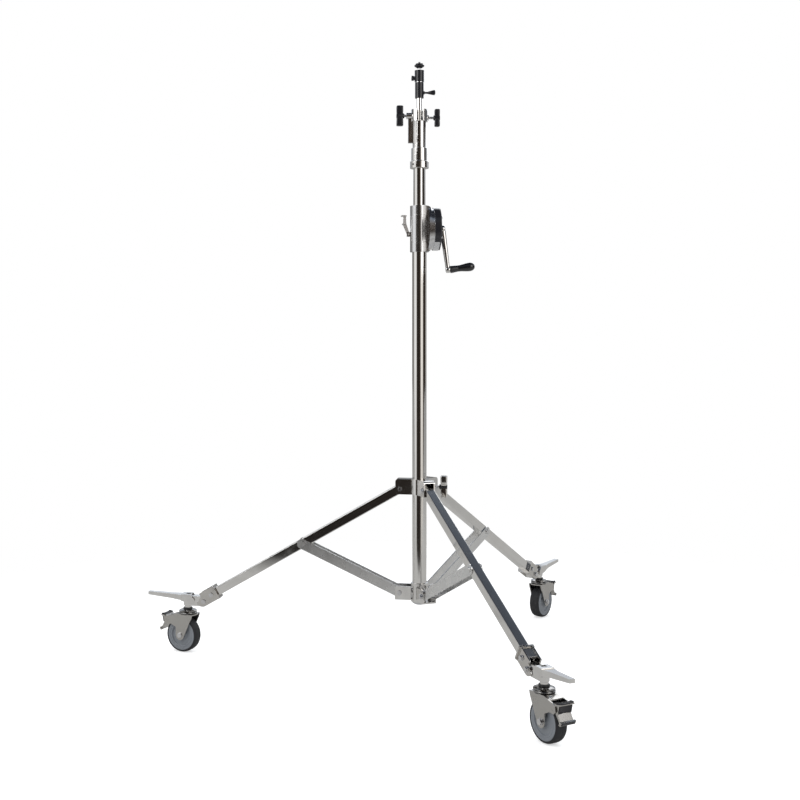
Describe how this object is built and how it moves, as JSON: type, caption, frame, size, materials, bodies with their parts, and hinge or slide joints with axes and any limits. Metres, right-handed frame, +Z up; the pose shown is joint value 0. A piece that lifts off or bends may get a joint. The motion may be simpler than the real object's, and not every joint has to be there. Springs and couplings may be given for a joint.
{
  "type": "wind-up stand",
  "caption": "Folding steel stand on braked casters, with a cranked telescopic mast, a clamped stud and a small ball head on top.",
  "frame": {"origin": "on the floor under the mast's axis", "axes": "+Z up along the mast; the left leg points along -X, the other two at -60 and +60 degrees from +X"},
  "size_m": [1.1933, 1.3726, 1.6806],
  "materials": {
    "chrome_tube": "polished chromium plate on steel tube",
    "chrome_fitting": "bright plated pressed steel with soft wear",
    "bright_steel": "bright zinc-plated fasteners",
    "cast_alloy": "satin cast aluminium",
    "polished_cast": "polished die-cast alloy",
    "black_cast": "satin black paint on cast metal",
    "black_plastic": "gloss black moulded plastic",
    "guide_plastic": "matt black moulded guide",
    "wheel_plastic": "grey moulded wheel centre",
    "tyre_rubber": "dark grey solid rubber",
    "steel_cable": "twisted steel cable, greased"
  },
  "bodies": {
    "mast": {"column_tube": "chrome_tube", "base_collar": "polished_cast", "base_pins": "bright_steel", "base_plug": "cast_alloy", "winch_housing": "cast_alloy", "winch_cover": "black_cast", "winch_screws": "bright_steel", "column_bush": "guide_plastic"},
    "slip_lever": {"slip_lever": "chrome_fitting"},
    "crank": {"cable_drum": "bright_steel", "crank_arm": "polished_cast"},
    "crank_grip": {"crank_grip": "black_plastic"},
    "riser": {"middle_tube": "chrome_tube", "lifting_cable": "steel_cable", "middle_collar": "polished_cast"},
    "head": {"top_tube": "chrome_tube", "receiver": "polished_cast"},
    "clamp_left": {"receiver_knob_left": "black_cast"},
    "clamp_right": {"receiver_knob_right": "black_cast"},
    "stud": {"stud": "chrome_tube"},
    "adapter": {"stud_adapter": "black_cast"},
    "adapter_screw": {"adapter_screw": "black_cast"},
    "ball_knob": {"ball_knob": "black_plastic"},
    "ball": {"ball_stud": "black_cast"},
    "hub": {"leg_hub": "polished_cast", "hub_pins": "bright_steel"},
    "hub_knob": {"hub_knob": "polished_cast"},
    "leg_left": {"leg_tube_left": "chrome_tube", "leg_fitting_left": "chrome_fitting", "leg_bolts_left": "bright_steel"},
    "brace_left": {"brace_left": "chrome_fitting"},
    "carrier_left": {"caster_carrier_left": "polished_cast"},
    "lever_left": {"foot_lever_left": "polished_cast"},
    "fork_left": {"caster_fork_left": "chrome_fitting", "wheel_axle_left": "bright_steel"},
    "wheel_left": {"wheel_core_left": "wheel_plastic", "tyre_left": "tyre_rubber"},
    "pedal_left": {"brake_pedal_left": "black_cast"},
    "leg_front": {"leg_tube_front": "chrome_tube", "leg_fitting_front": "chrome_fitting", "leg_bolts_front": "bright_steel"},
    "brace_front": {"brace_front": "chrome_fitting"},
    "carrier_front": {"caster_carrier_front": "polished_cast"},
    "lever_front": {"foot_lever_front": "polished_cast"},
    "fork_front": {"caster_fork_front": "chrome_fitting", "wheel_axle_front": "bright_steel"},
    "wheel_front": {"wheel_core_front": "wheel_plastic", "tyre_front": "tyre_rubber"},
    "pedal_front": {"brake_pedal_front": "black_cast"},
    "leg_rear": {"leg_tube_rear": "chrome_tube", "leg_fitting_rear": "chrome_fitting", "leg_bolts_rear": "bright_steel"},
    "brace_rear": {"brace_rear": "chrome_fitting"},
    "carrier_rear": {"caster_carrier_rear": "polished_cast"},
    "lever_rear": {"foot_lever_rear": "polished_cast"},
    "fork_rear": {"caster_fork_rear": "chrome_fitting", "wheel_axle_rear": "bright_steel"},
    "wheel_rear": {"wheel_core_rear": "wheel_plastic", "tyre_rear": "tyre_rubber"},
    "pedal_rear": {"brake_pedal_rear": "black_cast"}
  },
  "joints": [
    {"name": "crank_turn", "type": "hinge", "parent": "mast", "child": "crank", "pos_m": [0, 0, 1.21268], "axis": [0.9781, 0.2079, 0], "range_deg": [0, 2430]},
    {"name": "riser_slide", "type": "slide", "parent": "mast", "child": "riser", "axis": [0, 0, 1], "range_m": [0, 0.9]},
    {"name": "head_slide", "type": "slide", "parent": "riser", "child": "head", "axis": [0, 0, 1], "range_m": [0, 0.9]},
    {"name": "grip_spin", "type": "hinge", "parent": "crank", "child": "crank_grip", "pos_m": [0.07767, 0.01651, 1.0988], "axis": [0.9686, 0.2059, 0.1392], "continuous": true},
    {"name": "slip_lever_swing", "type": "hinge", "parent": "mast", "child": "slip_lever", "pos_m": [-0.03032, -0.00645, 1.19768], "axis": [0.2079, -0.9781, 0], "range_deg": [0, 25]},
    {"name": "hub_slide", "type": "slide", "parent": "mast", "child": "hub", "axis": [0, 0, 1], "range_m": [0, 0.32743]},
    {"name": "hub_knob_turn", "type": "hinge", "parent": "hub", "child": "hub_knob", "pos_m": [0, 0, 0.49218], "axis": [1, 0, 0], "range_deg": [0, 270]},
    {"name": "leg_left_fold", "type": "hinge", "parent": "hub", "child": "leg_left", "pos_m": [-0.053, 0, 0.48618], "axis": [0, -1, 0], "range_deg": [0, 49.01]},
    {"name": "brace_left_fold", "type": "hinge", "parent": "mast", "child": "brace_left", "pos_m": [-0.054, 0, 0.19618], "axis": [0, 1, 0], "range_deg": [0, 54.16]},
    {"name": "carrier_left_tilt", "type": "hinge", "parent": "leg_left", "child": "carrier_left", "pos_m": [-0.6204, 0, 0.149], "axis": [0, 1, 0], "range_deg": [0, 49]},
    {"name": "lever_left_lift", "type": "hinge", "parent": "carrier_left", "child": "lever_left", "pos_m": [-0.6569, 0, 0.151], "axis": [0, 1, 0], "range_deg": [0, 15], "stiffness_Nm_per_rad": 0.6, "springref_deg": -11.46},
    {"name": "fork_left_swivel", "type": "hinge", "parent": "carrier_left", "child": "fork_left", "pos_m": [-0.6709, 0, 0.054], "axis": [0, 0, 1], "continuous": true},
    {"name": "wheel_left_roll", "type": "hinge", "parent": "fork_left", "child": "wheel_left", "pos_m": [-0.68429, 0.00409, 0.05], "axis": [-0.2924, -0.9563, 0], "continuous": true},
    {"name": "pedal_left_press", "type": "hinge", "parent": "fork_left", "child": "pedal_left", "pos_m": [-0.72446, 0.01637, 0.09], "axis": [-0.2924, -0.9563, 0], "range_deg": [0, 8]},
    {"name": "leg_front_fold", "type": "hinge", "parent": "hub", "child": "leg_front", "pos_m": [0.0265, -0.0459, 0.48618], "axis": [0.866, 0.5, 0], "range_deg": [0, 49.01]},
    {"name": "brace_front_fold", "type": "hinge", "parent": "mast", "child": "brace_front", "pos_m": [0.027, -0.04677, 0.19618], "axis": [-0.866, -0.5, 0], "range_deg": [0, 54.16]},
    {"name": "carrier_front_tilt", "type": "hinge", "parent": "leg_front", "child": "carrier_front", "pos_m": [0.3102, -0.53729, 0.149], "axis": [-0.866, -0.5, 0], "range_deg": [0, 49]},
    {"name": "lever_front_lift", "type": "hinge", "parent": "carrier_front", "child": "lever_front", "pos_m": [0.32845, -0.5689, 0.151], "axis": [-0.866, -0.5, 0], "range_deg": [0, 15], "stiffness_Nm_per_rad": 0.6, "springref_deg": -11.46},
    {"name": "fork_front_swivel", "type": "hinge", "parent": "carrier_front", "child": "fork_front", "pos_m": [0.33545, -0.58102, 0.054], "axis": [0, 0, 1], "continuous": true},
    {"name": "wheel_front_roll", "type": "hinge", "parent": "fork_front", "child": "wheel_front", "pos_m": [0.34407, -0.59205, 0.05], "axis": [0.788, 0.6157, 0], "continuous": true},
    {"name": "pedal_front_press", "type": "hinge", "parent": "fork_front", "child": "pedal_front", "pos_m": [0.36993, -0.62515, 0.09], "axis": [0.788, 0.6157, 0], "range_deg": [0, 8]},
    {"name": "leg_rear_fold", "type": "hinge", "parent": "hub", "child": "leg_rear", "pos_m": [0.0265, 0.0459, 0.48618], "axis": [-0.866, 0.5, 0], "range_deg": [0, 49.01]},
    {"name": "brace_rear_fold", "type": "hinge", "parent": "mast", "child": "brace_rear", "pos_m": [0.027, 0.04677, 0.19618], "axis": [0.866, -0.5, 0], "range_deg": [0, 54.16]},
    {"name": "carrier_rear_tilt", "type": "hinge", "parent": "leg_rear", "child": "carrier_rear", "pos_m": [0.3102, 0.53729, 0.149], "axis": [0.866, -0.5, 0], "range_deg": [0, 49]},
    {"name": "lever_rear_lift", "type": "hinge", "parent": "carrier_rear", "child": "lever_rear", "pos_m": [0.32845, 0.5689, 0.151], "axis": [0.866, -0.5, 0], "range_deg": [0, 15], "stiffness_Nm_per_rad": 0.6, "springref_deg": -11.46},
    {"name": "fork_rear_swivel", "type": "hinge", "parent": "carrier_rear", "child": "fork_rear", "pos_m": [0.33545, 0.58102, 0.054], "axis": [0, 0, 1], "continuous": true},
    {"name": "wheel_rear_roll", "type": "hinge", "parent": "fork_rear", "child": "wheel_rear", "pos_m": [0.34202, 0.59338, 0.05], "axis": [-0.8829, 0.4695, 0], "continuous": true},
    {"name": "pedal_rear_press", "type": "hinge", "parent": "fork_rear", "child": "pedal_rear", "pos_m": [0.36174, 0.63046, 0.09], "axis": [-0.8829, 0.4695, 0], "range_deg": [0, 8]},
    {"name": "clamp_left_turn", "type": "hinge", "parent": "head", "child": "clamp_left", "pos_m": [0, 0, 1.52958], "axis": [0.9781, 0.2079, 0], "range_deg": [0, 270]},
    {"name": "clamp_right_turn", "type": "hinge", "parent": "head", "child": "clamp_right", "pos_m": [0, 0, 1.52458], "axis": [0.9781, 0.2079, 0], "range_deg": [0, 270]},
    {"name": "stud_lift", "type": "slide", "parent": "head", "child": "stud", "axis": [0, 0, 1], "range_m": [0, 0.06]},
    {"name": "adapter_swivel", "type": "hinge", "parent": "stud", "child": "adapter", "pos_m": [0, 0, 1.58758], "axis": [0, 0, 1], "continuous": true},
    {"name": "adapter_screw_turn", "type": "hinge", "parent": "adapter", "child": "adapter_screw", "pos_m": [0, 0, 1.59458], "axis": [0.9781, 0.2079, 0], "range_deg": [0, 270]},
    {"name": "ball_tilt", "type": "hinge", "parent": "adapter", "child": "ball", "pos_m": [0, 0, 1.6486], "axis": [-0.2079, 0.9781, 0], "range_deg": [-30, 30]},
    {"name": "ball_knob_turn", "type": "hinge", "parent": "adapter", "child": "ball_knob", "pos_m": [0, 0, 1.63508], "axis": [0.9781, 0.2079, 0], "range_deg": [0, 270]}
  ],
  "couplings": [
    {"joint": "riser_slide", "follows": "crank_turn", "m_per_rad": 0.0212},
    {"joint": "head_slide", "follows": "crank_turn", "m_per_rad": 0.0212},
    {"joint": "leg_left_fold", "follows": "hub_slide", "rad_per_m": 2.6119},
    {"joint": "brace_left_fold", "follows": "hub_slide", "rad_per_m": 2.8866},
    {"joint": "leg_front_fold", "follows": "hub_slide", "rad_per_m": 2.6119},
    {"joint": "brace_front_fold", "follows": "hub_slide", "rad_per_m": 2.8866},
    {"joint": "leg_rear_fold", "follows": "hub_slide", "rad_per_m": 2.6119},
    {"joint": "brace_rear_fold", "follows": "hub_slide", "rad_per_m": 2.8866}
  ]
}
